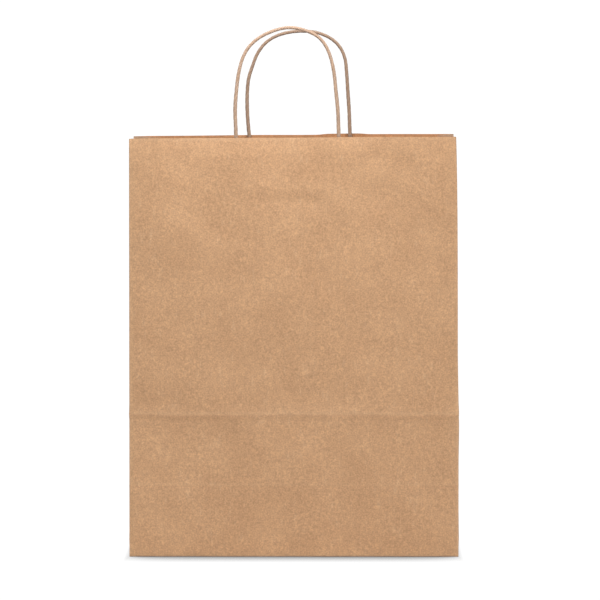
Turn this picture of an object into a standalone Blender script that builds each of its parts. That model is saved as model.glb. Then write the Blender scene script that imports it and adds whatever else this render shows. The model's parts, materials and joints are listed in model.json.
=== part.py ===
"""Kraft paper gift bag with two twisted-cord handles, standing open.

Metres, +Z up. The origin is the middle of the bag's footprint at floor level, and the front
panel faces -Y. Every sheet is its own closed solid, and sheets that are glued together in the
real bag lie one GAP apart.
"""

import math

import bpy

# Overall size of the standing bag, without its handles
WIDTH = 0.242
DEPTH = 0.104
HEIGHT = 0.3085

# Sheet stock and the clearance left between neighbouring pieces
PAPER = 0.0002
GAP = 0.0003

# Glued side seam: a strip of the right gusset's paper that laps onto the back panel
SEAM_WIDTH = 0.020

# The creases of the gussets
BACK_TURN = 0.00115  # inner face of the back panel to the line the back gussets turn on
DIAGONAL_RISE = 0.005  # how far the diagonal crease stays above the bag's front corner
DIAGONAL_GAP = 0.00045

# Pasted bottom
LAP_HALF = 0.010  # half the overlap of the two long flaps
LAP_RAMP = 0.002
BOTTOM_PIVOT_RISE = 0.0008  # the line the bottom turns on, above its upper face
BOTTOM_BACK_CLEARANCE = 0.0005

# Handles: one twisted cord each, glued by its two tails under a pair of patches
CORD_RADIUS = 0.0014
LEG_SPACING = 0.0757
TAIL_LENGTH = 0.026
TAIL_TOP_BELOW_RIM = 0.0002
PATCH_WIDTH = 0.1395
PATCH_BELOW_RIM = 0.0015
WIDE_PATCH_HEIGHT = 0.036
NARROW_PATCH_HEIGHT = 0.030
COVER_CLEARANCE = 0.00035
COVER_SHOULDER = math.radians(20)
COVER_STEPS = 10
LOOP_POINTS = 52  # about five millimetres apart
LOOP_FINE_STEPS = 4000

# For each handle: middle of its legs, top of its centreline above the rim, how square the
# bend is, and how far the bend leans towards +X
HANDLES = {
    "front": (-0.00455, 0.0798, 4.1, 0.0020),
    "back": (0.00396, 0.0775, 5.2, 0.0015),
}

# Colours, linear
KRAFT = (0.60, 0.365, 0.205)
KRAFT_INSIDE = (0.56, 0.33, 0.18)
KRAFT_PATCH = (0.62, 0.385, 0.225)
KRAFT_CORD = (0.60, 0.41, 0.30)

HALF_WIDTH = WIDTH / 2
HALF_DEPTH = DEPTH / 2
FRONT_OUTER = -HALF_DEPTH
FRONT_INNER = FRONT_OUTER + PAPER
BACK_OUTER = HALF_DEPTH - PAPER - GAP
BACK_INNER = BACK_OUTER - PAPER

# Lines along Z that the gusset halves turn on
FRONT_FOLD_Y = FRONT_INNER + GAP
BACK_FOLD_Y = BACK_INNER - BACK_TURN
MIDDLE_FOLD_Y = (FRONT_FOLD_Y + BACK_FOLD_Y) / 2
EDGE_FOLD_X = HALF_WIDTH - PAPER
MIDDLE_FOLD_X = HALF_WIDTH + GAP / 2

# Bottom plate: two sheets deep
BOTTOM_TOP = 2 * PAPER + GAP
BOTTOM_PIVOT_Z = BOTTOM_TOP + BOTTOM_PIVOT_RISE
BOTTOM_HALF_WIDTH = HALF_WIDTH - PAPER - GAP
BOTTOM_FRONT_Y = FRONT_FOLD_Y
BOTTOM_BACK_Y = BACK_INNER - GAP - BOTTOM_BACK_CLEARANCE
LOWER_SHEET = (0.0, PAPER)
UPPER_SHEET = (PAPER + GAP, BOTTOM_TOP)

# Depth of each layer of the handle stack, from the outer face of its panel
WIDE_PATCH_LAYER = PAPER + GAP
NARROW_PATCH_LAYER = 2 * (PAPER + GAP)
CORD_AXIS_DEPTH = NARROW_PATCH_LAYER + CORD_RADIUS
CORD_PIVOT_Z = HEIGHT + CORD_RADIUS + GAP


def clear_scene():
    """Remove everything the startup file holds."""
    for existing in list(bpy.data.objects):
        bpy.data.objects.remove(existing, do_unlink=True)


def paper_material(name, colour, roughness):
    """A matte paper material of one colour."""
    material = bpy.data.materials.new(name)
    material.use_nodes = True
    shader = material.node_tree.nodes["Principled BSDF"]
    shader.inputs["Base Color"].default_value = (*colour, 1.0)
    shader.inputs["Roughness"].default_value = roughness
    shader.inputs["Metallic"].default_value = 0.0
    return material


def add_body(name, pivot, parent=None):
    """An empty at a rigid body's pivot, which the body's sheets are parented to."""
    body = bpy.data.objects.new(name, None)
    body.empty_display_size = 0.01
    bpy.context.collection.objects.link(body)
    body["pivot"] = pivot
    body.location = pivot
    if parent is not None:
        body.parent = parent
        body.location = [own - theirs for own, theirs in zip(pivot, parent["pivot"])]
    return body


def signed_volume(points, faces):
    """Volume of a closed mesh, negative when its faces point inwards."""
    total = 0.0
    for face in faces:
        first = points[face[0]]
        for second, third in zip(face[1:-1], face[2:]):
            b = points[second]
            c = points[third]
            total += first[0] * (b[1] * c[2] - b[2] * c[1])
            total += first[1] * (b[2] * c[0] - b[0] * c[2])
            total += first[2] * (b[0] * c[1] - b[1] * c[0])
    return total / 6


def add_mesh(name, points, faces, body, colour):
    """A mesh object from points in the bag's frame, with its origin at its body's pivot."""
    if signed_volume(points, faces) < 0:
        faces = [tuple(reversed(face)) for face in faces]
    pivot = body["pivot"]
    local = [[value - own for value, own in zip(point, pivot)] for point in points]
    mesh = bpy.data.meshes.new(name)
    mesh.from_pydata(local, [], faces)
    mesh.update()
    node = bpy.data.objects.new(name, mesh)
    bpy.context.collection.objects.link(node)
    node.parent = body
    mesh.materials.append(paper_material(name + "_paper", colour, 0.85))
    return node


def add_prism(name, outline, axis, low, high, body, colour):
    """A flat outline pushed along one axis: outline holds the other two coordinates in order."""
    points = []
    for level in (low, high):
        for pair in outline:
            point = list(pair)
            point.insert(axis, level)
            points.append(point)
    count = len(outline)
    faces = [tuple(range(count)), tuple(range(count, 2 * count))[::-1]]
    for index in range(count):
        after = (index + 1) % count
        faces.append((after, index, index + count, after + count))
    return add_mesh(name, points, faces, body, colour)


def add_box(name, low, high, body, colour):
    """A box between two corners."""
    outline = [(low[0], low[1]), (high[0], low[1]), (high[0], high[1]), (low[0], high[1])]
    return add_prism(name, outline, 2, low[2], high[2], body, colour)


def add_folded_strip(name, near, far, z_low, z_high, body, colour):
    """A sheet between two polylines in the XY plane, pushed along Z, made of plain quads."""
    count = len(near)
    points = []
    for level in (z_low, z_high):
        points += [(x, y, level) for x, y in near]
        points += [(x, y, level) for x, y in far]
    top = 2 * count
    faces = []
    for index in range(count - 1):
        after = index + 1
        faces.append((index, after, count + after, count + index))
        faces.append((top + index, top + count + index, top + count + after, top + after))
        faces.append((index, top + index, top + after, after))
        faces.append((count + index, count + after, top + count + after, top + count + index))
    faces.append((0, count, top + count, top))
    last = count - 1
    faces.append((last, top + last, top + count + last, count + last))
    return add_mesh(name, points, faces, body, colour)


def build_panels(front, back):
    """The two wide panels and the glued seam strip on the back."""
    add_box(
        "front_panel",
        (-HALF_WIDTH, FRONT_OUTER, 0.0),
        (HALF_WIDTH, FRONT_INNER, HEIGHT),
        front,
        KRAFT,
    )
    # The back panel's paper turns forward at both sides, up to the gussets' fold lines.
    turned = BACK_FOLD_Y + GAP
    outline = [
        (-HALF_WIDTH, BACK_OUTER),
        (-HALF_WIDTH, turned),
        (-EDGE_FOLD_X, turned),
        (-EDGE_FOLD_X, BACK_INNER),
        (EDGE_FOLD_X, BACK_INNER),
        (EDGE_FOLD_X, turned),
        (HALF_WIDTH, turned),
        (HALF_WIDTH, BACK_OUTER),
    ]
    add_prism("back_panel", outline, 2, 0.0, HEIGHT, back, KRAFT)
    add_box(
        "seam_flap",
        (HALF_WIDTH - SEAM_WIDTH, HALF_DEPTH - PAPER, 0.0),
        (HALF_WIDTH, HALF_DEPTH, HEIGHT),
        back,
        KRAFT,
    )


def diagonal_z(y):
    """Height of the gusset's diagonal crease at a depth."""
    return y - FRONT_FOLD_Y + DIAGONAL_RISE


def build_gusset(side, front_half, back_half, lower):
    """One side gusset: two halves above the diagonal crease and one triangle below it."""
    name = "left" if side < 0 else "right"
    outer = side * HALF_WIDTH
    inner = side * EDGE_FOLD_X
    low, high = sorted((outer, inner))
    front_end = MIDDLE_FOLD_Y - GAP / 2
    back_end = MIDDLE_FOLD_Y + GAP / 2
    outline = [
        (FRONT_FOLD_Y, diagonal_z(FRONT_FOLD_Y)),
        (front_end, diagonal_z(front_end)),
        (front_end, HEIGHT),
        (FRONT_FOLD_Y, HEIGHT),
    ]
    add_prism(name + "_gusset_front", outline, 0, low, high, front_half, KRAFT)
    outline = [
        (back_end, diagonal_z(back_end)),
        (BACK_FOLD_Y, diagonal_z(BACK_FOLD_Y)),
        (BACK_FOLD_Y, HEIGHT),
        (back_end, HEIGHT),
    ]
    add_prism(name + "_gusset_back", outline, 0, low, high, back_half, KRAFT)
    outline = [
        (FRONT_FOLD_Y, 0.0),
        (BACK_FOLD_Y, 0.0),
        (BACK_FOLD_Y, diagonal_z(BACK_FOLD_Y) - DIAGONAL_GAP),
        (FRONT_FOLD_Y, diagonal_z(FRONT_FOLD_Y) - DIAGONAL_GAP),
    ]
    add_prism(name + "_gusset_lower", outline, 0, low, high, lower, KRAFT)


def flap_half_width(y_from_edge):
    """Half the width of a long flap, whose ends run in at 45 degrees from the corners."""
    return BOTTOM_HALF_WIDTH - GAP - y_from_edge


def build_bottom(bottom):
    """The pasted bottom: two end flaps inside, and two long flaps that lap along the middle."""
    middle = (BOTTOM_FRONT_Y + BOTTOM_BACK_Y) / 2
    reach = (BOTTOM_BACK_Y - BOTTOM_FRONT_Y) / 2
    for side, name in ((-1, "left"), (1, "right")):
        outline = [
            (side * BOTTOM_HALF_WIDTH, BOTTOM_FRONT_Y + GAP),
            (side * BOTTOM_HALF_WIDTH, BOTTOM_BACK_Y - GAP),
            (side * (BOTTOM_HALF_WIDTH - reach + GAP), middle),
        ]
        add_prism("bottom_end_flap_" + name, outline, 2, *UPPER_SHEET, bottom, KRAFT_INSIDE)

    # Back flap: the outermost sheet, flat on the floor.
    lap_edge = middle - LAP_HALF
    wide = flap_half_width(0.0)
    narrow = flap_half_width(BOTTOM_BACK_Y - lap_edge)
    outline = [
        (-wide, BOTTOM_BACK_Y),
        (wide, BOTTOM_BACK_Y),
        (narrow, lap_edge),
        (-narrow, lap_edge),
    ]
    add_prism("bottom_back_flap", outline, 2, *LOWER_SHEET, bottom, KRAFT)

    # Front flap: on the floor as far as the lap, then one sheet higher under the back flap.
    stations = [
        (BOTTOM_FRONT_Y, 0.0),
        (lap_edge - GAP - LAP_RAMP, 0.0),
        (lap_edge - GAP, UPPER_SHEET[0]),
        (middle + LAP_HALF, UPPER_SHEET[0]),
    ]
    points = []
    for y, z in stations:
        half = flap_half_width(y - BOTTOM_FRONT_Y)
        points += [(-half, y, z), (half, y, z), (half, y, z + PAPER), (-half, y, z + PAPER)]
    faces = [(3, 2, 1, 0)]
    for index in range(len(stations) - 1):
        start = 4 * index
        for corner in range(4):
            after = (corner + 1) % 4
            faces.append((start + corner, start + after, start + 4 + after, start + 4 + corner))
    end = 4 * (len(stations) - 1)
    faces.append((end, end + 1, end + 2, end + 3))
    add_mesh("bottom_front_flap", points, faces, bottom, KRAFT)


def cover_profile(leg_positions, half, layer, thickness):
    """Centre-to-face polyline of the narrow patch: flat, and humped over each cord tail."""
    radius = CORD_RADIUS + COVER_CLEARANCE + thickness
    centre = CORD_AXIS_DEPTH
    flat = layer + thickness
    profile = [(leg_positions[0][1] - half, flat)]
    for leg, _ in leg_positions:
        arc = []
        for step in range(COVER_STEPS + 1):
            share = step / COVER_STEPS
            angle = math.pi - COVER_SHOULDER - share * (math.pi - 2 * COVER_SHOULDER)
            arc.append((leg + radius * math.cos(angle), centre + radius * math.sin(angle)))
        drop = arc[0][1] - flat
        run = drop * math.tan(COVER_SHOULDER)
        profile.append((arc[0][0] - run, flat))
        profile += arc
        profile.append((arc[-1][0] + run, flat))
    profile.append((leg_positions[0][1] + half, flat))
    return profile


def build_handle(name, panel_y, inward, panel_body, loop_body):
    """One handle: its patches, its two glued tails and its loop."""
    middle, top, squareness, lean = HANDLES[name]
    patch_top = HEIGHT - PATCH_BELOW_RIM

    def depth(value):
        return panel_y + inward * value

    low, high = sorted((depth(WIDE_PATCH_LAYER), depth(WIDE_PATCH_LAYER + PAPER)))
    add_box(
        name + "_wide_patch",
        (middle - PATCH_WIDTH / 2, low, patch_top - WIDE_PATCH_HEIGHT),
        (middle + PATCH_WIDTH / 2, high, patch_top),
        panel_body,
        KRAFT_PATCH,
    )

    legs = [(middle - LEG_SPACING / 2, middle), (middle + LEG_SPACING / 2, middle)]
    near = cover_profile(legs, PATCH_WIDTH / 2, NARROW_PATCH_LAYER, 0.0)
    far = cover_profile(legs, PATCH_WIDTH / 2, NARROW_PATCH_LAYER, PAPER)
    add_folded_strip(
        name + "_narrow_patch",
        [(x, depth(value)) for x, value in near],
        [(x, depth(value)) for x, value in far],
        patch_top - NARROW_PATCH_HEIGHT,
        patch_top,
        panel_body,
        KRAFT_PATCH,
    )

    axis_y = depth(CORD_AXIS_DEPTH)
    tail_top = HEIGHT - TAIL_TOP_BELOW_RIM
    for (leg, _), label in zip(legs, ("left", "right")):
        line = [(leg, axis_y, tail_top - TAIL_LENGTH), (leg, axis_y, tail_top)]
        add_cord(name + "_handle_tail_" + label, line, [1.0, 1.0], panel_body)

    line = []
    radii = []
    for share in (-0.96, -0.75, -0.45):
        line.append((legs[0][0], axis_y, CORD_PIVOT_Z + share * CORD_RADIUS))
        radii.append(math.sqrt(1 - share * share))
    for x, z in loop_line(middle, top, squareness, lean):
        line.append((x, axis_y, z))
        radii.append(1.0)
    for share in (-0.45, -0.75, -0.96):
        line.append((legs[1][0], axis_y, CORD_PIVOT_Z + share * CORD_RADIUS))
        radii.append(math.sqrt(1 - share * share))
    add_cord(name + "_handle_loop", line, radii, loop_body)


def loop_line(middle, top, squareness, lean):
    """Evenly spaced points (x, z) of a loop's centreline, a rounded square between two pivots."""
    base = CORD_PIVOT_Z - HEIGHT
    fine = []
    travelled = [0.0]
    for step in range(LOOP_FINE_STEPS + 1):
        turn = math.pi * (1 - step / LOOP_FINE_STEPS)
        rise = max(math.sin(turn), 0.0) ** (2 / squareness)
        x = middle + math.cos(turn) * LEG_SPACING / 2 + lean * rise**6
        fine.append((x, HEIGHT + base + (top - base) * rise))
        if step > 0:
            travelled.append(travelled[-1] + math.dist(fine[-2], fine[-1]))
    even = []
    index = 0
    for point in range(LOOP_POINTS):
        goal = travelled[-1] * point / (LOOP_POINTS - 1)
        while index < LOOP_FINE_STEPS and travelled[index] < goal:
            index += 1
        even.append(fine[index])
    return even


def add_cord(name, line, radii, body):
    """A round cord along a polyline, with closed ends."""
    curve = bpy.data.curves.new(name, "CURVE")
    curve.dimensions = "3D"
    curve.bevel_depth = CORD_RADIUS
    curve.bevel_resolution = 2
    curve.use_fill_caps = True
    spline = curve.splines.new("POLY")
    spline.points.add(len(line) - 1)
    pivot = body["pivot"]
    for point, place, radius in zip(spline.points, line, radii):
        local = [value - own for value, own in zip(place, pivot)]
        point.co = (*local, 1.0)
        point.radius = radius
    spline.use_smooth = True
    curve.materials.append(paper_material(name + "_cord", KRAFT_CORD, 0.9))
    node = bpy.data.objects.new(name, curve)
    bpy.context.collection.objects.link(node)
    node.parent = body
    return node


def main():
    clear_scene()
    front = add_body("front_body", (0.0, FRONT_OUTER, 0.0))
    halves = {}
    for side, name in ((-1, "left"), (1, "right")):
        edge = side * EDGE_FOLD_X
        crease = side * MIDDLE_FOLD_X
        first = add_body(name + "_front_half", (edge, FRONT_FOLD_Y, 0.0), front)
        second = add_body(name + "_back_half", (crease, MIDDLE_FOLD_Y, 0.0), first)
        halves[side] = (first, second)
    back = add_body("back_body", (-EDGE_FOLD_X, BACK_FOLD_Y, 0.0), halves[-1][1])
    bottom = add_body("bottom_body", (0.0, BOTTOM_FRONT_Y, BOTTOM_PIVOT_Z), front)

    build_panels(front, back)
    for side, name in ((-1, "left"), (1, "right")):
        pivot = (side * EDGE_FOLD_X, FRONT_FOLD_Y, BOTTOM_PIVOT_Z)
        lower = add_body(name + "_lower_body", pivot, bottom)
        build_gusset(side, *halves[side], lower)
    build_bottom(bottom)

    for name, panel_y, inward, body in (
        ("front", FRONT_OUTER, 1, front),
        ("back", BACK_OUTER, -1, back),
    ):
        pivot = (HANDLES[name][0], panel_y + inward * CORD_AXIS_DEPTH, CORD_PIVOT_Z)
        loop = add_body(name + "_handle_body", pivot, body)
        build_handle(name, panel_y, inward, body, loop)


main()
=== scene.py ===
"""Looks for the kraft gift bag: creased paper sheets, glued patches and twisted paper cords.

Metres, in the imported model's frame: +Z up, the front panel faces -Y, floor at z = 0.
"""

import json
import math

import bpy
import numpy as np
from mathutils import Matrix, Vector


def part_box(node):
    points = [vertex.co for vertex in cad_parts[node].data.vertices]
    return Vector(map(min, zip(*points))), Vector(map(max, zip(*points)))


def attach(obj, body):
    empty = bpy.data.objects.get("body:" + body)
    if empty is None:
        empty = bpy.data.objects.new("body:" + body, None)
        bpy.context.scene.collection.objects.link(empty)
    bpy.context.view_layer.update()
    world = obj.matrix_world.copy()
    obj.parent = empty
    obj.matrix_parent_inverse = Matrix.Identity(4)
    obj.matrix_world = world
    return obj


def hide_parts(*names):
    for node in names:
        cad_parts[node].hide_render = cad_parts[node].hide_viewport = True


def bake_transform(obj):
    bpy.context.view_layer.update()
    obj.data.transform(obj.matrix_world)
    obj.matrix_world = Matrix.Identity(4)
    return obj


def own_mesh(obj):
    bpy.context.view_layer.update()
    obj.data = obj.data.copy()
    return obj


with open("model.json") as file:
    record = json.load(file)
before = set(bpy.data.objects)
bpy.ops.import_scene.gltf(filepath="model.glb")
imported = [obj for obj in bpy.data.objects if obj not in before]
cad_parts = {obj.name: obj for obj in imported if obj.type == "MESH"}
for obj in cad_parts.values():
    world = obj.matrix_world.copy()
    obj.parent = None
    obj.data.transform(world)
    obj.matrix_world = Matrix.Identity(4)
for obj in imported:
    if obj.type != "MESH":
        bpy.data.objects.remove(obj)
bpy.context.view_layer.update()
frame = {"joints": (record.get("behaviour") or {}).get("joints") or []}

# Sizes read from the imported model
FRONT_LOW, FRONT_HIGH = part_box("front_panel")
BACK_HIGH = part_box("back_panel")[1]
HALF_WIDTH = FRONT_HIGH.x
RIM = FRONT_HIGH.z
PAPER = FRONT_HIGH.y - FRONT_LOW.y
FRONT_Y = (FRONT_LOW.y + FRONT_HIGH.y) / 2
BACK_Y = BACK_HIGH.y - PAPER / 2
SIDE_X = HALF_WIDTH - PAPER / 2
JOINTS = {joint["name"]: joint for joint in frame["joints"]}
MIDDLE_Y = JOINTS["left_gusset_crease"]["pos_m"][1]
BACK_FOLD_Y = JOINTS["back_left_edge"]["pos_m"][1]
DIAGONAL_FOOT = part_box("left_gusset_front")[0].z
DIAGONAL_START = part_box("left_gusset_front")[0].y
BOTTOM_BACK_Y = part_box("bottom_back_flap")[1].y
BOTTOM_FRONT_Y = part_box("bottom_front_flap")[0].y
SEAM_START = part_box("seam_flap")[0].x
LAP_EDGE_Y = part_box("bottom_back_flap")[0].y
FRONT_FLAP_END_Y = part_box("bottom_front_flap")[1].y
UPPER_FLAP_Z = (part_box("bottom_end_flap_left")[0].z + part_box("bottom_end_flap_left")[1].z) / 2
BAG_MIDDLE = np.array((0.0, MIDDLE_Y, RIM / 2))

# Folded edges
EDGE_RADIUS = 0.0007
EDGE_REACH = 0.0026  # how far a crease strip reaches onto each of its two panels
EDGE_STEPS = 6

# Machine creases on all four sides: height above the floor, and how far each stands out
MAIN_CREASE = 0.1048
HALF_CREASE = MAIN_CREASE / 2
FOOT_FOLD = 0.0030
MAIN_CREASE_RISE = 0.00054
HALF_CREASE_RISE = 0.00017
FOOT_FOLD_RISE = 0.00008
LEFT_CREASE_GAIN = 0.35  # how much more the main crease stands out at the left
LEFT_CREASE_FROM = (0.030, 0.100)  # distances left of the middle between which that grows
CREASE_WANDER = ((0.0005, 41), (0.0003, 113))  # its waver: height, and radians per metre
GUSSET_CREASE_SHARE = 0.35  # the creases are weaker on the gussets

# How far each crease spreads above and below its line
MAIN_CREASE_SPREAD = (0.0085, 0.0046)
HALF_CREASE_SPREAD = (0.0030, 0.0011)
FOOT_FOLD_SPREAD = (0.0045, 0.0026)

# The rim leans in above the end of the stiff patches' print
PRINT_DEPTH = 0.0123  # below the rim, in the middle of the patches
PRINT_TILT = 0.027  # the print comes nearer to the rim towards the right
PRINT_SIDES = (-0.0746, 0.0651)  # where it ends on the front panel
PRINT_FADE = (0.064, 0.090)  # the fold turns soft between these distances from its middle
PRINT_SHARP = 0.0004  # rounding of the fold across the patches
PRINT_SOFT = 0.006  # more rounding beside them
LEAN_LOST_BESIDE = 0.30  # share of the lean that is lost beside the patches

# The gussets tuck in towards the rim, from this height
TUCK_START = 0.118
TUCK_LEFT = 0.021
TUCK_RIGHT = 0.013
TUCK_STRAIGHT = 0.35  # share of the tuck that grows in a straight line with height
TUCK_POWER = 1.6  # how the rest of it grows
TUCK_MARGIN = 0.0045  # the paper stays in plane this far from the folded edges
TUCK_SOFT = 0.0020

# Creases pressed into the gussets: height or depth, and width
RISING_CREASE = 0.00028
FALLING_CREASE = 0.00022
DIAGONAL_WIDTH = 0.0012
SPINE_DEPTH = 0.00030
SPINE_WIDTH = 0.0016
SPINE_START = (0.045, 0.070)  # heights between which the middle crease begins
PRESS_FADE = 0.004  # the diagonals end this close to the main crease
GUSSET_SWELLS = ((0.00020, 31, 0.060), (0.00007, 33, 0.025))  # height, seed and wavelength

# The right side stands out of its plane, and draws in above the main crease and at the rim
SIDE_BELLY = 0.0005
SIDE_DRAW = 0.0006
SIDE_DRAW_RISE = 0.05
RIM_DRAW = 0.00145
RIM_DRAW_REACH = 0.045

# Shape of the rim: a general lift, more of it at the right, and a rise by the back handle
RIM_LIFT = 0.0002
RIM_LIFT_RIGHT = 0.0006
RIM_BUMP = 0.0006
RIM_BUMP_SPAN = (0.037, 0.0165)  # its middle and half width
RIM_DIP_SPAN = (0.005, 0.020)  # and those of the dip beside it
RIM_DROP_FRONT = (0.0005, 0.0004)  # how far down it is at the left, and in the left corner
RIM_DROP_BACK = (0.0009, 0.0002)
RIM_CORNER = 0.016
RIM_BAND = 0.045  # how far down from the rim the paper gives way

# Distances from a panel and from a gusset between which its relief fades out
PANEL_FADE = (0.006, 0.022)
GUSSET_FADE = (0.001, 0.012)

# The pasted bottom
EAR_OVERLAP = 0.0025  # how far the end flaps run on above the long flaps
FLAP_STEP = 0.0020  # length over which a sheet climbs onto another
GLUE_SWELL = 0.00006

# Grid spacing of the paper
COARSE = 0.0030
FINE = 0.0006
CLOSEST = 0.0003

# Camera
CAMERA_PLACE = (0.031, -4.422, 0.4035)
CAMERA_AIM = (0.0047, -0.052, 0.1894)
CAMERA_LENS = 357.0

# Studio floor and backdrop, and the shade that the bag casts on the floor round its foot
AMBIENT = 0.430
FLOOR_HALF = 0.75
FLOOR_GAP = 0.0002
BACKDROP_RADIUS = 9.0
CONTACT_REACH = 0.058
SHADE_DARK_AT = 0.46  # openness of a place where the shade is darkest
SHADE_GONE_AT = 0.97
SHADE_POWER = 0.75
SHADE_COLOUR = (0.16, 0.155, 0.15)
SIDE_FADE = 0.97  # how much of the shade is taken away beyond the sides of the bag
SIDE_FADE_FROM = HALF_WIDTH - 0.008
SIDE_FADE_TO = HALF_WIDTH + 0.004

# Softboxes as name, place, aim, size and power
LIGHTS = [
    ("top_softbox", (-0.05, -0.23, 0.72), (0.0, -0.13, 0.0), 0.26, 2.80),
    ("right_softbox", (1.1, -1.2, 0.9), (0.0, -0.05, 0.18), 0.60, 11.0),
    ("back_softbox", (-1.0, 1.2, 0.9), (0.0, 0.05, 0.15), 0.70, 15.0),
]

# Paper and cord colours, linear
KRAFT_COLOUR = (0.530, 0.311, 0.166)
KRAFT_DARK = (0.430, 0.240, 0.122)
KRAFT_LIGHT = (0.620, 0.400, 0.240)
INSIDE_PAINTED_SHADE = (0.945, 0.80, 0.69)  # the inner face is painted a deeper brown: painted shade and orange bounce light inside the bag
FOOT_SHADE_COLOUR = (0.28, 0.255, 0.235)  # painted contact shadow along the edge that the bag stands on
CORD_COLOUR = (0.505, 0.335, 0.236)
CORD_GROOVE_SHADE = (0.300, 0.185, 0.115)
CORD_LIGHT = (0.645, 0.478, 0.368)

# Noise in the paper and the cords, in features per metre
CLOUD_SCALE = 34.0
PULP_SCALE = 340.0
GRAIN_SCALE = 900.0
UPRIGHT_FIBRE_SCALE = 520.0
LEVEL_FIBRE_SCALE = 560.0
SPECK_SCALE = 1500.0
CORD_PATCH_SCALE = 120.0
CORD_FIBRE_SCALE = 1400.0

# Rubbed lines on the paper, lightened partly by wear and partly as a painted highlight: strength,
# height above the floor and width
WEAR_AND_HIGHLIGHT_LINES = (
    (0.80, RIM, 0.0006),
    (0.70, 0.0006, 0.0012),
    (0.45, MAIN_CREASE + 0.0010, 0.0012),
    (0.25, HALF_CREASE + 0.0008, 0.0007),
)
CORNER_WEAR_AND_HIGHLIGHT = 0.0011
SPINE_WEAR_AND_HIGHLIGHT = 0.6
SPINE_WEAR_AND_HIGHLIGHT_WIDTH = 0.0009
# Painted contact shadow along the foot: how high it rises, and how far in from the sides it
# reaches
FOOT_SHADE_RISE = 0.0004
FOOT_SHADE_REACH = 0.0020

# Twisted cord: radius at the legs and at the top of the bend, lobes round it, length of a turn
CORD_RADIUS = 0.00140
CORD_RADIUS_TOP = 0.00122
CORD_SLIM_FROM = 0.020  # height above the rim where it starts to get thinner
CORD_SLIM_TO = 0.072
CORD_UNEVEN = ((0.018, 290), (0.012, 831))  # share of the radius, and radians per metre
CORD_LOBES = 3
CORD_SECTION = (1.02, 0.03, 0.07)  # in radii: crown of a ply, its roundness, depth of a groove
CORD_TURN = 0.0150
CORD_SIDES = 27
CORD_STEP = 0.0008
CORD_BOW = 0.0004  # how far the loops stand out from the bag, on average
CORD_FOLLOW = 0.012  # height over which a cord stops following its panel above the rim
TAIL_BEND = 0.012  # height of a tail's second control point above its lower end
RIM_CLEARANCE = 0.002  # how far below the rim a leg's last fixed point is
CORD_BELL = 0.0036  # half width of the hump a tail makes in the patch over it
CORD_TOP_DEPTH = 0.00415  # how deep behind the panel's face the patch is on top of a tail

# Depth of each patch's middle behind the panel's outer face
PATCH_DEPTHS = (("wide", 0.00042), ("narrow", 0.00068))

# Middle line of each handle above the rim: x from the middle of the bag and height, millimetres
FRONT_LOOP = [
    (-42.5, 6), (-43, 20), (-42, 35), (-40, 49.5), (-37.5, 58.5), (-33.5, 66), (-27.5, 72),
    (-16.5, 78), (-4, 81), (11, 78), (19, 73.5), (24.5, 66), (27.5, 58), (29.5, 49),
    (31, 35), (32.5, 20), (33, 6),
]
BACK_LOOP = [
    (-34.5, 4), (-35.5, 18), (-35.5, 32), (-34.5, 42.5), (-31.5, 52), (-28, 61), (-21.5, 69.5),
    (-13.5, 74.5), (-5, 77), (4, 78), (20, 76), (29.5, 71), (34.5, 65.5), (38, 57),
    (39, 48), (40, 33), (41, 18), (41.5, 4),
]


# ---- paper relief


def smooth(value, start, end):
    """0 before start, 1 after end, with an eased rise between."""
    share = np.clip((value - start) / (end - start), 0.0, 1.0)
    return share * share * (3 - 2 * share)


def tent(distance, above, below):
    """A sharp ridge: 1 at zero, falling to 0 over above on one side and below on the other."""
    up = np.clip(1 - distance / above, 0, 1) ** 1.15
    down = np.clip(1 + distance / below, 0, 1) ** 1.3
    return np.where(distance > 0, up, down)


def soft_ramp(value, softness):
    """0 below zero and the value itself above, with a rounded corner."""
    return softness * np.log1p(np.exp(np.clip(value / softness, -40, 40)))


def waves(a, b, seed, wavelength):
    """Slow seeded undulation of a sheet, about -1 to 1."""
    rng = np.random.default_rng(seed)
    total = np.zeros(np.broadcast(a, b).shape)
    count = 7
    for _ in range(count):
        angle = rng.uniform(0, math.tau)
        length = wavelength * rng.uniform(0.6, 1.7)
        phase = rng.uniform(0, math.tau)
        along = a * math.cos(angle) + b * math.sin(angle)
        total = total + np.sin(math.tau * along / length + phase)
    return total / math.sqrt(count)


def near_line(a, b, start, end, width):
    """A soft ridge along the straight line between two points of a panel."""
    run = (end[0] - start[0], end[1] - start[1])
    length2 = run[0] ** 2 + run[1] ** 2
    share = ((a - start[0]) * run[0] + (b - start[1]) * run[1]) / length2
    share = np.clip(share, 0, 1)
    gap2 = (a - start[0] - share * run[0]) ** 2 + (b - start[1] - share * run[1]) ** 2
    return np.exp(-gap2 / width**2)


# Dents in the panels: start and end as (x, depth below the rim), ridge height (inwards is
# negative) and width, all in millimetres. Most are the print of a handle folded into the bag.
FRONT_DENTS = [
    ((-43, 28), (-42, 64), -0.44, 7.0),
    ((-20, 46), (16, 47), -0.40, 4.0),
    ((18, 48), (39, 76), -0.44, 5.0),
    ((39, 76), (58, 101), -0.32, 5.0),
    ((40, 99), (50, 101), 0.36, 4.0),
    ((-36, 37), (22, 39), 0.40, 4.5),
    ((-99, 6), (-83, 34), 0.52, 6.0),
    ((-86, 46), (-73, 50), 0.32, 5.0),
    ((-60, 78), (-44, 84), 0.28, 6.0),
    ((98, 2), (110, 7), 0.40, 4.5),
    ((63, 16), (99, 27), -0.44, 6.0),
    ((107, 44), (116, 47), -0.40, 4.0),
    ((50, 30), (86, 38), 0.20, 5.0),
    ((84, 32), (106, 48), 0.12, 4.0),
    ((-119, 102), (-105, 144), 0.24, 4.0),
    ((59, 100), (60, 159), 0.14, 2.0),
    ((83, 32), (84, 160), 0.12, 2.2),
    ((-70, 120), (10, 190), 0.20, 16.0),
    ((-20, 130), (80, 150), -0.20, 18.0),
    ((-99, 5), (-101, 150), 0.35, 17.0),
    ((0, 118), (4, 124), 1.20, 48.0),
    ((119, 52), (119, 190), -0.50, 15.0),
]
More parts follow.
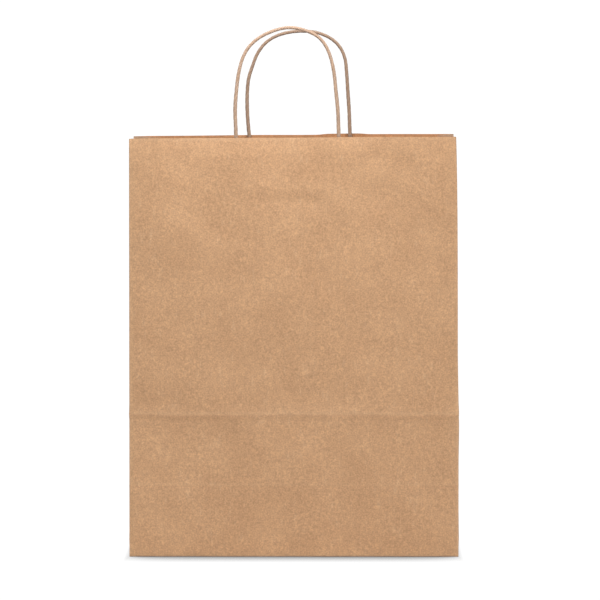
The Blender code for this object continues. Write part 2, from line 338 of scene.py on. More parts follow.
BACK_DENTS = [
    ((-30, 44), (30, 47), -0.20, 4.5),
    ((-44, 30), (-43, 70), -0.18, 6.0),
    ((44, 28), (42, 66), -0.20, 6.0),
    ((-95, 10), (-80, 36), 0.22, 6.0),
    ((70, 20), (104, 40), 0.20, 6.0),
    ((-110, 110), (-70, 190), 0.16, 9.0),
    ((20, 120), (90, 100), 0.14, 12.0),
]

# The two wide panels: middle of the patches, how steeply the rim leans in, how far the middle
# bellies out, and slow swells as height, seed and wavelength
PANELS = {
    "front": {
        "crease_seed": 1.0,
        "patch_middle": -0.0046,
        "lean": 0.106,
        "belly": 0.0026,
        "swells": ((0.00054, 11, 0.085), (0.00018, 12, 0.036)),
        "dents": FRONT_DENTS,
    },
    "back": {
        "crease_seed": 2.3,
        "patch_middle": 0.0040,
        "lean": 0.045,
        "belly": 0.0022,
        "swells": ((0.00050, 21, 0.090), (0.00017, 22, 0.038)),
        "dents": BACK_DENTS,
    },
}


def panel_dents(dents, x, below):
    """Sum of the dents at points of a panel."""
    total = np.zeros(np.broadcast(x, below).shape)
    for start, end, height, width in dents:
        first = (start[0] / 1000, start[1] / 1000)
        last = (end[0] / 1000, end[1] / 1000)
        total = total + height / 1000 * near_line(x, below, first, last, width / 1000)
    return total


def machine_creases(across, z, seed):
    """The fold lines at the block bottom's depth and at half of it, seen from outside."""
    (slow, slow_rate), (quick, quick_rate) = CREASE_WANDER
    wander = slow * np.sin(across * slow_rate + seed)
    wander = wander + quick * np.sin(across * quick_rate + 2 * seed)
    main = MAIN_CREASE_RISE * tent(z - MAIN_CREASE - wander, *MAIN_CREASE_SPREAD)
    main = main * (1 + LEFT_CREASE_GAIN * smooth(-across, *LEFT_CREASE_FROM))
    edge = 0.35 + 0.65 * np.clip(np.abs(across) / HALF_WIDTH, 0, 1) ** 2
    half = HALF_CREASE_RISE * edge * tent(z - HALF_CREASE, *HALF_CREASE_SPREAD)
    foot = FOOT_FOLD_RISE * tent(z - FOOT_FOLD, *FOOT_FOLD_SPREAD)
    return main + half + foot


def patch_step(x, below, middle):
    """Lean of the rim where the patches' print ends, sharp across them and soft beside them."""
    edge = PRINT_DEPTH - PRINT_TILT * (x - middle)
    beside = smooth(np.abs(x - middle), *PRINT_FADE)
    fold = soft_ramp(edge - below, PRINT_SHARP + PRINT_SOFT * beside)
    return fold * (1 - LEAN_LOST_BESIDE * beside)


def panel_relief(name, x, z):
    """How far the front or back panel stands out from its flat plane."""
    panel = PANELS[name]
    below = RIM - z
    total = machine_creases(x, z, panel["crease_seed"])
    total = total - panel["lean"] * patch_step(x, below, panel["patch_middle"])
    total = total + panel_dents(panel["dents"], x, below)
    for height, seed, wavelength in panel["swells"]:
        total = total + height * waves(x, z, seed, wavelength)
    belly = np.cos(np.clip(x / HALF_WIDTH, -1, 1) * math.pi / 2) * np.sin(math.pi * z / RIM)
    return total + panel["belly"] * belly


def gusset_relief(side, y, z):
    """How far a gusset stands out from its plane: it tucks in along its middle crease."""
    half = (BACK_FOLD_Y - DIAGONAL_START) / 2
    from_middle = np.abs(y - MIDDLE_Y)
    depth = TUCK_LEFT if side < 0 else TUCK_RIGHT
    rise = np.clip((z - TUCK_START) / (RIM - TUCK_START), 0, 1)
    from_edge = half - from_middle
    across = soft_ramp(from_edge - TUCK_MARGIN, TUCK_SOFT) / (half - TUCK_MARGIN)
    growth = TUCK_STRAIGHT * rise + (1 - TUCK_STRAIGHT) * rise**TUCK_POWER
    tuck = -depth * growth * across * smooth(from_edge, -0.0012, TUCK_MARGIN)
    # The press of the block bottom leaves an X of diagonal creases below the main one.
    rising = np.abs((z - DIAGONAL_FOOT) - (y - DIAGONAL_START)) / math.sqrt(2)
    falling = np.abs((z - DIAGONAL_FOOT) - (BACK_FOLD_Y - y)) / math.sqrt(2)
    pressed = 1 - smooth(z, MAIN_CREASE - PRESS_FADE, MAIN_CREASE + PRESS_FADE)
    cross = RISING_CREASE * np.exp(-rising / DIAGONAL_WIDTH) * pressed
    cross = cross + FALLING_CREASE * np.exp(-falling / DIAGONAL_WIDTH) * pressed
    level = GUSSET_CREASE_SHARE * machine_creases(y * 0.3 + HALF_WIDTH, z, 3.1 + side)
    spine = -SPINE_DEPTH * np.exp(-from_middle / SPINE_WIDTH) * smooth(z, *SPINE_START)
    slow = sum(height * waves(y, z, seed + side, length) for height, seed, length in GUSSET_SWELLS)
    return tuck + (cross + spine + slow) * smooth(from_edge, 0.0, 0.008) + level


def rim_shift(x, y):
    """How far the rim is from level: it drops at the left, and rises by the back handle."""
    left = 1 - smooth(x, -HALF_WIDTH, 0.0)
    corner = 1 - smooth(x, -HALF_WIDTH, -HALF_WIDTH + RIM_CORNER)
    bump = np.exp(-(((x - RIM_BUMP_SPAN[0]) / RIM_BUMP_SPAN[1]) ** 8))
    bump = bump - 0.3 * np.exp(-(((x - RIM_DIP_SPAN[0]) / RIM_DIP_SPAN[1]) ** 2))
    lift = RIM_LIFT + RIM_LIFT_RIGHT * smooth(x, -0.02, 0.08)
    front = lift - RIM_DROP_FRONT[0] * left - RIM_DROP_FRONT[1] * corner
    back = lift - RIM_DROP_BACK[0] * left - RIM_DROP_BACK[1] * corner + RIM_BUMP * bump
    share = smooth(y, FRONT_Y + 0.03, BACK_Y - 0.03)
    return front * (1 - share) + back * share


def warp(points):
    """Moves points of the flat-sided bag to where the used paper lies."""
    moved = np.array(points, float)
    x, y, z = moved.T.copy()
    near_front = 1 - smooth(y, FRONT_Y + PANEL_FADE[0], FRONT_Y + PANEL_FADE[1])
    near_back = smooth(y, BACK_Y - PANEL_FADE[1], BACK_Y - PANEL_FADE[0])
    moved[:, 1] -= panel_relief("front", x, z) * near_front
    moved[:, 1] += panel_relief("back", x, z) * near_back
    for side in (-1, 1):
        near_side = smooth(side * x, HALF_WIDTH - GUSSET_FADE[1], HALF_WIDTH - GUSSET_FADE[0])
        moved[:, 0] += side * gusset_relief(side, y, z) * near_side
    moved[:, 2] += rim_shift(x, y) * smooth(z, RIM - RIM_BAND, RIM)
    drawn = SIDE_DRAW * smooth(z, MAIN_CREASE, MAIN_CREASE + SIDE_DRAW_RISE)
    drawn = drawn + RIM_DRAW * np.exp((z - RIM) / RIM_DRAW_REACH)
    moved[:, 0] -= (drawn - SIDE_BELLY) * np.clip(x / HALF_WIDTH, 0, 1) ** 2
    return moved


# ---- mesh building


def stations(low, high, step=COARSE, fine=()):
    """Grid lines from low to high, closer together near each fine (place, reach)."""
    places = [low, high]
    count = max(1, round((high - low) / step))
    places += [low + (high - low) * index / count for index in range(1, count)]
    for place, reach in fine:
        steps = max(1, round(2 * reach / FINE))
        for index in range(steps + 1):
            value = place - reach + 2 * reach * index / steps
            if low < value < high:
                places.append(value)
    ordered = []
    for value in sorted(places):
        if not ordered or value - ordered[-1] > CLOSEST:
            ordered.append(value)
    ordered[-1] = high
    return np.array(ordered)


def grid_normals(grid):
    """Unit normals of a grid of points."""
    along = np.gradient(grid, axis=0)
    over = np.gradient(grid, axis=1)
    normal = np.cross(along, over)
    return normal / np.maximum(np.linalg.norm(normal, axis=2, keepdims=True), 1e-12)


def wear_and_highlight_of(points):
    """How much the paper is lightened, from 0 to 1, by rubbing and by a painted highlight: along
    folded edges, creases and the rim.
    """
    x, y, z = points.T
    corner = np.hypot(
        np.minimum(HALF_WIDTH - np.abs(x), 0.02),
        np.minimum(np.minimum(y - FRONT_Y, BACK_Y - y), 0.02),
    )
    wear = np.exp(-corner / CORNER_WEAR_AND_HIGHLIGHT)
    for strength, height, width in WEAR_AND_HIGHLIGHT_LINES:
        wear = np.maximum(wear, strength * np.exp(-np.abs(z - height) / width))
    on_side = np.abs(x) > HALF_WIDTH - 0.004
    spine = SPINE_WEAR_AND_HIGHLIGHT * np.exp(-np.abs(y - MIDDLE_Y) / SPINE_WEAR_AND_HIGHLIGHT_WIDTH) * (z > 0.05)
    return np.maximum(wear, np.where(on_side, spine, 0))


def foot_shade_of(points):
    """How much painted contact shadow darkens the paper, from 0 to 1: only along the edge the bag
    stands on.
    """
    x, y, z = points.T
    from_side = np.minimum(HALF_WIDTH - np.abs(x), np.minimum(y - FRONT_Y, BACK_Y - y))
    low = np.exp(-np.maximum(z, 0) / FOOT_SHADE_RISE)
    return low * np.exp(-np.maximum(from_side, 0) / FOOT_SHADE_REACH)


def link(obj):
    """Puts an object into the scene."""
    bpy.context.scene.collection.objects.link(obj)
    return obj


def store(mesh, name, values):
    """Keeps one number per point of a mesh, for its material to read."""
    layer = mesh.attributes.new(name, "FLOAT", "POINT")
    layer.data.foreach_set("value", np.array(values, np.float32))


def mesh_object(name, points, faces, material, sharp=()):
    """A smooth-shaded mesh object. sharp lists the edges that stay sharp, as pairs of points."""
    mesh = bpy.data.meshes.new(name)
    mesh.from_pydata([tuple(point) for point in points], [], faces)
    mesh.update()
    mesh.polygons.foreach_set("use_smooth", [True] * len(mesh.polygons))
    if sharp:
        marked = {tuple(sorted(pair)) for pair in sharp}
        flags = [tuple(sorted(edge.vertices)) in marked for edge in mesh.edges]
        layer = mesh.attributes.new("sharp_edge", "BOOLEAN", "EDGE")
        layer.data.foreach_set("value", flags)
    mesh.materials.append(material)
    return link(bpy.data.objects.new(name, mesh))


def paper_sheet(name, grid, material):
    """A closed thin sheet around a grid of mid-surface points."""
    rows, columns = grid.shape[:2]
    normal = grid_normals(grid)
    outer = (grid + normal * PAPER / 2).reshape(-1, 3)
    inner = (grid - normal * PAPER / 2).reshape(-1, 3)
    points = np.concatenate([outer, inner])
    size = rows * columns
    faces = []
    for row in range(rows - 1):
        for column in range(columns - 1):
            a = row * columns + column
            b = a + 1
            c = a + columns + 1
            d = a + columns
            faces.append((a, d, c, b))
            faces.append((size + a, size + b, size + c, size + d))
    # The two skins are closed by a ring of faces all round the border.
    border = list(range(columns))
    border += [row * columns + columns - 1 for row in range(1, rows)]
    border += [(rows - 1) * columns + column for column in range(columns - 2, -1, -1)]
    border += [row * columns for row in range(rows - 2, 0, -1)]
    sharp = []
    for index, a in enumerate(border):
        b = border[(index + 1) % len(border)]
        faces.append((a, b, size + b, size + a))
        sharp += [(a, b), (size + a, size + b)]
    if flipped(points, faces):
        faces = [tuple(reversed(face)) for face in faces]
    sheet = mesh_object(name, points, faces, material, sharp)
    faces_out = (normal * (grid - BAG_MIDDLE)).sum() > 0
    store(sheet.data, "inside", np.repeat([not faces_out, faces_out], size))
    # Rubbed edges, lightened partly by wear and partly as a painted highlight, for the material to
    # read.
    store(sheet.data, "wear", wear_and_highlight_of(points))
    # Painted contact shadow along the foot, for the material to read.
    store(sheet.data, "grime", foot_shade_of(points))
    return sheet


def flipped(points, faces):
    """True if the faces of a closed mesh point inwards."""
    quads = np.array([face for face in faces if len(face) == 4])
    a, b, c, d = (points[quads[:, index]] for index in range(4))
    return float((a * np.cross(b, c)).sum() + (a * np.cross(c, d)).sum()) < 0


def warped(grid):
    """A grid of points of the flat-sided bag, moved to where the used paper lies."""
    return warp(grid.reshape(-1, 3)).reshape(grid.shape)


def wall(name, line, levels, material):
    """A warped sheet standing on a line in the XY plane. levels gives z for each of its points."""
    grid = np.zeros((len(levels[0]), len(line), 3))
    for column, (x, y) in enumerate(line):
        grid[:, column, 0] = x
        grid[:, column, 1] = y
        grid[:, column, 2] = levels[column]
    grid = warped(grid)
    if line[len(line) // 2][1] > BACK_FOLD_Y:
        curl_foot(grid)
    return paper_sheet(name, grid, material)


def curl_foot(grid):
    """Curls the lowest edge of the back wall forward, towards the bottom."""
    low = np.clip(1 - grid[:, :, 2] / EDGE_RADIUS, 0, 1)
    grid[:, :, 1] -= EDGE_RADIUS * (1 - np.sqrt(1 - low**2))


def corner_line(corner, before, after):
    """Points round a rounded corner. before and after are unit steps leading off the corner."""
    corner, before, after = (np.array(value, float) for value in (corner, before, after))
    centre = corner + (before + after) * EDGE_RADIUS
    points = [corner + before * EDGE_REACH]
    points.append(corner + before * (EDGE_REACH + EDGE_RADIUS) / 2)
    for step in range(EDGE_STEPS + 1):
        angle = math.pi / 2 * step / EDGE_STEPS
        points.append(
            centre - after * EDGE_RADIUS * math.cos(angle) - before * EDGE_RADIUS * math.sin(angle)
        )
    points.append(corner + after * (EDGE_REACH + EDGE_RADIUS) / 2)
    points.append(corner + after * EDGE_REACH)
    return [tuple(point) for point in points]


# Heights at which every wall has extra grid lines, and how far they reach up and down
Z_FINE = (
    (MAIN_CREASE, 0.0085),
    (HALF_CREASE, 0.0030),
    (FOOT_FOLD, 0.0048),
    (RIM - PRINT_DEPTH, 0.0040),
)


def wall_levels(low=0.0):
    """Heights of a wall's grid lines."""
    return stations(low, RIM, fine=Z_FINE)


# ---- materials


def add_node(tree, kind, **settings):
    """A new node with its settings."""
    node = tree.nodes.new(kind)
    for key, value in settings.items():
        setattr(node, key, value)
    return node


def set_inputs(node, values):
    """Sets unlinked inputs of a node by name."""
    for name, value in values.items():
        node.inputs[name].default_value = value


def noise(tree, coordinates, scale, detail, roughness=0.55, stretch=None):
    """Grey noise with so many features per metre, optionally stretched along the axes."""
    source = coordinates
    if stretch is not None:
        mapping = add_node(tree, "ShaderNodeMapping")
        set_inputs(mapping, {"Scale": stretch})
        tree.links.new(source, mapping.inputs["Vector"])
        source = mapping.outputs["Vector"]
    texture = add_node(tree, "ShaderNodeTexNoise")
    set_inputs(texture, {"Scale": scale, "Detail": detail, "Roughness": roughness})
    tree.links.new(source, texture.inputs["Vector"])
    return texture.outputs["Fac"]


def remap(tree, value, low, high, to_low, to_high):
    """Straight-line change of range, clamped."""
    node = add_node(tree, "ShaderNodeMapRange")
    set_inputs(node, {"From Min": low, "From Max": high, "To Min": to_low, "To Max": to_high})
    tree.links.new(value, node.inputs["Value"])
    return node.outputs["Result"]


def math_node(tree, operation, first, second):
    """Result of a sum on two values; each is a socket or a number."""
    node = add_node(tree, "ShaderNodeMath", operation=operation)
    for index, value in enumerate((first, second)):
        if isinstance(value, (int, float)):
            node.inputs[index].default_value = value
        else:
            tree.links.new(value, node.inputs[index])
    return node.outputs[0]


def mix_colour(tree, factor, first, second, blend="MIX"):
    """Blend of two colours; each is a socket or a linear RGB tuple."""
    node = add_node(tree, "ShaderNodeMix", data_type="RGBA", blend_type=blend)
    tree.links.new(factor, node.inputs["Factor"])
    for socket, value in ((node.inputs[6], first), (node.inputs[7], second)):
        if isinstance(value, tuple):
            socket.default_value = (*value, 1.0)
        else:
            tree.links.new(value, socket)
    return node.outputs[2]


def scale_colour(tree, colour, factor):
    """A colour multiplied by a grey factor."""
    node = add_node(tree, "ShaderNodeVectorMath", operation="SCALE")
    tree.links.new(colour, node.inputs[0])
    tree.links.new(factor, node.inputs["Scale"])
    return node.outputs[0]


def new_material(name):
    """A new material with its node tree and its shader."""
    material = bpy.data.materials.new(name)
    material.use_nodes = True
    tree = material.node_tree
    return material, tree, tree.nodes["Principled BSDF"]


def stored_value(tree, name):
    """Socket of a number kept on the mesh's points."""
    return add_node(tree, "ShaderNodeAttribute", attribute_name=name).outputs["Fac"]


def add_bump(tree, shader, height, strength, distance):
    """Fine relief from a grey height."""
    bump = add_node(tree, "ShaderNodeBump")
    set_inputs(bump, {"Strength": strength, "Distance": distance})
    tree.links.new(height, bump.inputs["Height"])
    tree.links.new(bump.outputs["Normal"], shader.inputs["Normal"])


def kraft_material(name, shade=1.0, seed=0.0):
    """Uncoated kraft paper: cloudy pulp, short fibres, fine grain, rubbed edges with a painted
    highlight, painted shade inside, and a painted contact shadow along the foot.
    """
    material, tree, shader = new_material(name)
    place = add_node(tree, "ShaderNodeTexCoord").outputs["Object"]
    if seed:
        shift = add_node(tree, "ShaderNodeVectorMath", operation="ADD")
        shift.inputs[1].default_value = (seed, 0.7 * seed, -0.4 * seed)
        tree.links.new(place, shift.inputs[0])
        place = shift.outputs[0]

    base = tuple(value * shade for value in KRAFT_COLOUR)
    dark = tuple(value * shade for value in KRAFT_DARK)
    light = tuple(value * shade for value in KRAFT_LIGHT)

    clouds = noise(tree, place, CLOUD_SCALE, 2.0, 0.45)
    pulp = noise(tree, place, PULP_SCALE, 3.0, 0.65)
    grain = noise(tree, place, GRAIN_SCALE, 2.0, 0.6)
    upright = noise(tree, place, UPRIGHT_FIBRE_SCALE, 2.0, 0.5, (1.0, 1.0, 0.22))
    level = noise(tree, place, LEVEL_FIBRE_SCALE, 2.0, 0.5, (0.25, 0.25, 1.0))

    colour = mix_colour(tree, remap(tree, clouds, 0.3, 0.7, 0.0, 0.46), base, dark)
    colour = mix_colour(tree, remap(tree, upright, 0.60, 0.78, 0.0, 0.44), colour, light)
    colour = mix_colour(tree, remap(tree, level, 0.64, 0.80, 0.0, 0.30), colour, dark)
    specks = noise(tree, place, SPECK_SCALE, 0.0)
    colour = mix_colour(tree, remap(tree, specks, 0.80, 0.92, 0.0, 0.5), colour, dark)
    brightness = math_node(
        tree,
        "MULTIPLY",
        remap(tree, pulp, 0.25, 0.75, 0.88, 1.12),
        remap(tree, grain, 0.25, 0.75, 0.77, 1.23),
    )
    colour = scale_colour(tree, colour, brightness)

    # Rubbed edges are lightened, partly by wear and partly as a painted highlight.
    worn_and_lit = stored_value(tree, "wear")
    patchy = math_node(tree, "MULTIPLY", worn_and_lit, remap(tree, pulp, 0.3, 0.7, 0.25, 0.75))
    colour = mix_colour(tree, patchy, colour, light)
    # Painted shade and orange bounce light on the inner face.
    colour = mix_colour(tree, stored_value(tree, "inside"), colour, INSIDE_PAINTED_SHADE, "MULTIPLY")
    # Painted contact shadow darkens the edge the bag stands on.
    colour = mix_colour(tree, stored_value(tree, "grime"), colour, FOOT_SHADE_COLOUR, "MULTIPLY")
    tree.links.new(colour, shader.inputs["Base Color"])
    tree.links.new(remap(tree, pulp, 0.3, 0.7, 0.72, 0.90), shader.inputs["Roughness"])
    set_inputs(shader, {"Specular IOR Level": 0.28, "Sheen Weight": 0.10, "Sheen Roughness": 0.6})

    height = math_node(tree, "ADD", grain, math_node(tree, "MULTIPLY", upright, 0.9))
    height = math_node(tree, "ADD", height, math_node(tree, "MULTIPLY", pulp, 1.4))
    add_bump(tree, shader, height, 0.30, 0.00012)
    return material


def cord_material(name, shade):
    """Twisted paper cord: plies of slightly different colour, with painted shade darkening the
    grooves between them.
    """
    material, tree, shader = new_material(name)
    place = add_node(tree, "ShaderNodeTexCoord").outputs["Object"]
    groove = stored_value(tree, "groove")
    ply = stored_value(tree, "ply")
    patches = noise(tree, place, CORD_PATCH_SCALE, 3.0)
    fibre = noise(tree, place, CORD_FIBRE_SCALE, 3.0, 0.6)
    colour = mix_colour(tree, remap(tree, patches, 0.3, 0.7, 0.0, 0.45), CORD_COLOUR, CORD_LIGHT)
    colour = mix_colour(tree, remap(tree, ply, 0.0, 1.0, 0.0, 0.22), colour, KRAFT_LIGHT)
    # Painted shade in the grooves between the plies.
    colour = mix_colour(tree, remap(tree, groove, 0.35, 1.0, 0.0, 0.50), colour, CORD_GROOVE_SHADE)
    brightness = remap(tree, fibre, 0.25, 0.75, 0.86 * shade, 1.14 * shade)
    colour = scale_colour(tree, colour, brightness)
    tree.links.new(colour, shader.inputs["Base Color"])
    tree.links.new(remap(tree, fibre, 0.3, 0.7, 0.70, 0.90), shader.inputs["Roughness"])
    set_inputs(shader, {"Specular IOR Level": 0.25, "Sheen Weight": 0.12})
    add_bump(tree, shader, fibre, 0.35, 0.00010)
    return material


# ---- the bag's tube


def build_tube(paper):
    """Front, back and gussets: flat-ish panels joined by strips that bend at the creases."""
    inset = HALF_WIDTH - EDGE_REACH
    across = stations(-inset, inset, fine=[(x, 0.002) for x in PRINT_SIDES])
    levels = wall_levels(EDGE_REACH)
    front = wall(
        "front_paper", [(x, FRONT_Y) for x in across], [levels] * len(across), paper["front"]
    )
    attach(front, "front")
    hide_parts("front_panel")

    for side, name in ((-1, "left"), (1, "right")):
        build_side(side, name, paper)

    levels = np.concatenate([[0.0, 0.00012, 0.00030], wall_levels(EDGE_RADIUS)])
    line = [(x, BACK_Y) for x in stations(-inset, SIDE_X - EDGE_RADIUS)[::-1]]
    back = wall("back_paper", line, [levels] * len(line), paper["back"])
    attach(back, "back")
    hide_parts("back_panel")

    # The right gusset's paper goes on round the corner and is pasted over the back panel.
    lap_y = BACK_Y + PAPER + 0.00003
    line = corner_line((SIDE_X, lap_y), (0, -1), (-1, 0))
    line = [(line[0][0], BACK_FOLD_Y)] + [place for place in line if place[1] > BACK_FOLD_Y]
    line += [(x, lap_y) for x in stations(SEAM_START, SIDE_X - EDGE_REACH - 0.001)[::-1]]
    flap = wall("seam_flap_paper", line, [levels] * len(line), paper["right"])
    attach(flap, "back")
    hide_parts("seam_flap")


def diagonal(y):
    """Height of the gusset's rising diagonal crease."""
    return y - DIAGONAL_START + DIAGONAL_FOOT


def build_side(side, name, paper):
    """One gusset with its crease strips."""
    front_body = name + "_front_half"
    back_body = name + "_back_half"
    lower_body = name + "_lower"
    x = side * SIDE_X
    gusset = paper[name]

    line = corner_line((x, FRONT_Y), (-side, 0), (0, 1))
    full = wall_levels()
    strip = wall(name + "_front_edge", line, [full] * len(line), gusset)
    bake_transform(strip)

    first = line[-1][1]
    last = BACK_FOLD_Y if side > 0 else BACK_FOLD_Y - 0.0012
    rows = len(full)
    for body, node, start, end in (
        (front_body, name + "_gusset_front", first, MIDDLE_Y),
        (back_body, name + "_gusset_back", MIDDLE_Y, last),
    ):
        ys = stations(start, end, fine=((MIDDLE_Y, 0.0024), (start, 0.008), (end, 0.008)))
        levels = [level_rows(diagonal(y), rows) for y in ys]
        panel = wall(body + "_paper", [(x, y) for y in ys], levels, gusset)
        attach(panel, body)
        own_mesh(panel)
        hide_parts(node)

    if side < 0:
        line = corner_line((x, BACK_Y), (0, -1), (1, 0))
        line = [(x, last)] + [p for p in line if p[1] > last + 0.0003]
        levels = [level_rows(0.0, rows)] * len(line)
        strip = wall("left_back_edge", line, levels, gusset)
        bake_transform(strip)

    ys = stations(first, BACK_FOLD_Y, fine=((MIDDLE_Y, 0.002),))
    levels = [np.linspace(EDGE_REACH, diagonal(y), 48) for y in ys]
    panel = wall(name + "_lower_paper", [(x, y) for y in ys], levels, gusset)
    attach(panel, lower_body)
    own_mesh(panel)
    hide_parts(name + "_gusset_lower")


def level_rows(low, rows):
    """The wall's usual heights from low upwards, as a given number of rows."""
    usual = wall_levels()
    kept = usual[usual > low + 0.001]
    kept = np.concatenate([[low], kept])
    return np.interp(np.linspace(0, 1, rows), np.linspace(0, 1, len(kept)), kept)


# ---- the pasted bottom


def edge_strip(name, section, spots, place, material):
    """A strip that runs one section line along an edge. place turns (u, v, spot) into a point."""
    grid = np.array([[place(u, v, spot) for u, v in section] for spot in spots])
    return paper_sheet(name, warped(grid), material)


def pasted_flap(name, rows, height, material):
    """A flap of the bottom, from rows of (y, xs). height gives z at a place."""
    grid = np.array([[(x, y, height(x, y)) for x in xs] for y, xs in rows])
    return paper_sheet(name, warped(grid), material)


def glue_ripple(x, y, seed):
    """The small swell of pasted paper, always upwards."""
    return GLUE_SWELL * (1 + waves(x, y, seed, 0.030) / 2.7)


def build_bottom(paper):
    """The four pasted flaps, and the strips that turn up from them into the walls."""
    sheet_z = PAPER / 2
    section = corner_line((FRONT_Y, sheet_z), (0, 1), (1, 0))
    inset = HALF_WIDTH - EDGE_REACH
    strip = edge_strip(
        "front_bottom_edge",
        section,
        stations(-inset, inset),
        lambda u, v, spot: (spot, u, v),
        paper["front"],
    )
    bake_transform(strip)

    ear_start = SIDE_X - EDGE_REACH
    for side, name in ((-1, "left"), (1, "right")):
        section = corner_line((side * SIDE_X, sheet_z), (0, 1), (-side, 0))
        strip = edge_strip(
            name + "_bottom_edge",
            section,
            stations(FRONT_Y + EDGE_REACH, BACK_FOLD_Y),
            lambda u, v, spot: (u, spot, v),
            paper[name],
        )
        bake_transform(strip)

        rows = []
        middle = (BOTTOM_FRONT_Y + BOTTOM_BACK_Y) / 2
        reach = (BOTTOM_BACK_Y - BOTTOM_FRONT_Y) / 2
        for y in stations(BOTTOM_FRONT_Y + 0.0006, BOTTOM_BACK_Y - 0.0006):
            depth = reach - abs(y - middle)
            depth += EAR_OVERLAP * smooth(depth, 0.002, 0.007)
            rows.append((y, side * (ear_start - np.linspace(0, 1, 24) ** 1.3 * depth)))
        ear = pasted_flap(
            "bottom_end_flap_" + name + "_paper",
            rows,
            lambda x, y, side=side: sheet_z
            + (UPPER_FLAP_Z - sheet_z) * smooth(ear_start - side * x, 0.0, FLAP_STEP)
            + glue_ripple(x, y, 51),
            paper["bottom"],
        )
        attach(ear, "bottom")
        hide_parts("bottom_end_flap_" + name)

    def long_flap_rows(first, last, edge):
        """Rows of a long flap, whose ends run at 45 degrees from the corners at its own edge."""
        rows = []
        for y in stations(first, last, fine=((LAP_EDGE_Y, 0.004),)):
            half = ear_start - 0.0004 - abs(y - edge)
            rows.append((y, np.linspace(-half, half, 84)))
        return rows

    front = pasted_flap(
        "bottom_front_flap_paper",
        long_flap_rows(FRONT_Y + EDGE_REACH, FRONT_FLAP_END_Y, FRONT_Y),
        lambda x, y: sheet_z
        + (UPPER_FLAP_Z - sheet_z) * smooth(y, LAP_EDGE_Y - 0.0035, LAP_EDGE_Y - 0.0002)
        + glue_ripple(x, y, 52),
        paper["bottom"],
    )
    back = pasted_flap(
        "bottom_back_flap_paper",
        long_flap_rows(LAP_EDGE_Y, BOTTOM_BACK_Y, BOTTOM_BACK_Y),
        lambda x, y: sheet_z + glue_ripple(x, y, 53),
        paper["bottom"],
    )
    for piece, node in ((front, "bottom_front_flap"), (back, "bottom_back_flap")):
        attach(piece, "bottom")
        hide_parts(node)


# ---- handles and their patches


def even_line(points, step):
    """A smooth line through control points, resampled evenly."""
    points = np.array(points, float)
    gaps = np.linalg.norm(np.diff(points, axis=0), axis=1)
    at = np.concatenate([[0], np.cumsum(gaps)])
    slope = np.gradient(points, at, axis=0)
    fine = []
    for index in range(len(points) - 1):
        gap = gaps[index]
        for t in np.linspace(0, 1, 40, endpoint=False):
            fine.append(
                (2 * t**3 - 3 * t**2 + 1) * points[index]
                + (t**3 - 2 * t**2 + t) * gap * slope[index]
                + (3 * t**2 - 2 * t**3) * points[index + 1]
                + (t**3 - t**2) * gap * slope[index + 1]
            )
    fine = np.array(fine + [points[-1]])
    for _ in range(2):
        fine = resampled(fine, step / 2)
        weights = np.exp(-(np.arange(-9, 10) ** 2) / 24.0)
        padded = np.pad(fine, ((9, 9), (0, 0)), mode="reflect", reflect_type="odd")
        columns = [np.convolve(column, weights / weights.sum(), "valid") for column in padded.T]
        fine = np.array(columns).T
    return resampled(fine, step)


def resampled(line, step):
    """The same line with evenly spaced points."""
    at = np.concatenate([[0], np.cumsum(np.linalg.norm(np.diff(line, axis=0), axis=1))])
    goals = np.linspace(0, at[-1], max(2, round(at[-1] / step) + 1))
    return np.array([np.interp(goals, at, column) for column in line.T]).T


def twisted_cord(name, line, material):
    """A cord swept along a line lying near one XZ plane, its plies wound round it."""
    tangent = np.gradient(line, axis=0)
    tangent /= np.linalg.norm(tangent, axis=1, keepdims=True)
    side = np.array([0.0, 1.0, 0.0]) - tangent[:, 1:2] * tangent
    side /= np.linalg.norm(side, axis=1, keepdims=True)
    other = np.cross(tangent, side)
    travelled = np.arange(len(line)) * CORD_STEP
    slim = smooth(line[:, 2], RIM + CORD_SLIM_FROM, RIM + CORD_SLIM_TO)
    radius = CORD_RADIUS + (CORD_RADIUS_TOP - CORD_RADIUS) * slim
    radius = radius * (1 + sum(share * np.sin(travelled * rate) for share, rate in CORD_UNEVEN))
    turn = math.tau * travelled / CORD_TURN + 0.5 * np.sin(travelled * 77)

    crown, roundness, depth = CORD_SECTION
    points = []
    groove = []
    ply = []
    for ring in range(len(line)):
        for corner in range(CORD_SIDES):
            angle = math.tau * corner / CORD_SIDES
            share = ((angle - turn[ring]) / math.tau * CORD_LOBES) % CORD_LOBES
            across = abs(2 * (share % 1.0) - 1)
            valley = float(smooth(across, 0.50, 1.0))
            reach = radius[ring] * (crown - roundness * across**2 - depth * valley**2)
            points.append(
                line[ring]
                + reach * (math.cos(angle) * side[ring] + math.sin(angle) * other[ring])
            )
            groove.append(valley)
            ply.append((int(share) % CORD_LOBES) / (CORD_LOBES - 1))
    faces = []
    for ring in range(len(line) - 1):
        for corner in range(CORD_SIDES):
            after = (corner + 1) % CORD_SIDES
            first = ring * CORD_SIDES
            second = first + CORD_SIDES
            faces.append((first + corner, first + after, second + after, second + corner))
    for ring in (0, len(line) - 1):
        centre = len(points)
        points.append(line[ring])
        groove.append(1.0)
        ply.append(0.0)
        for corner in range(CORD_SIDES):
            pair = (ring * CORD_SIDES + corner, ring * CORD_SIDES + (corner + 1) % CORD_SIDES)
            faces.append((centre, *(pair if ring else pair[::-1])))
    if flipped(np.array(points), faces):
        faces = [tuple(reversed(face)) for face in faces]
    cord = mesh_object(name, points, faces, material)
    store(cord.data, "groove", groove)
    store(cord.data, "ply", ply)
    return cord


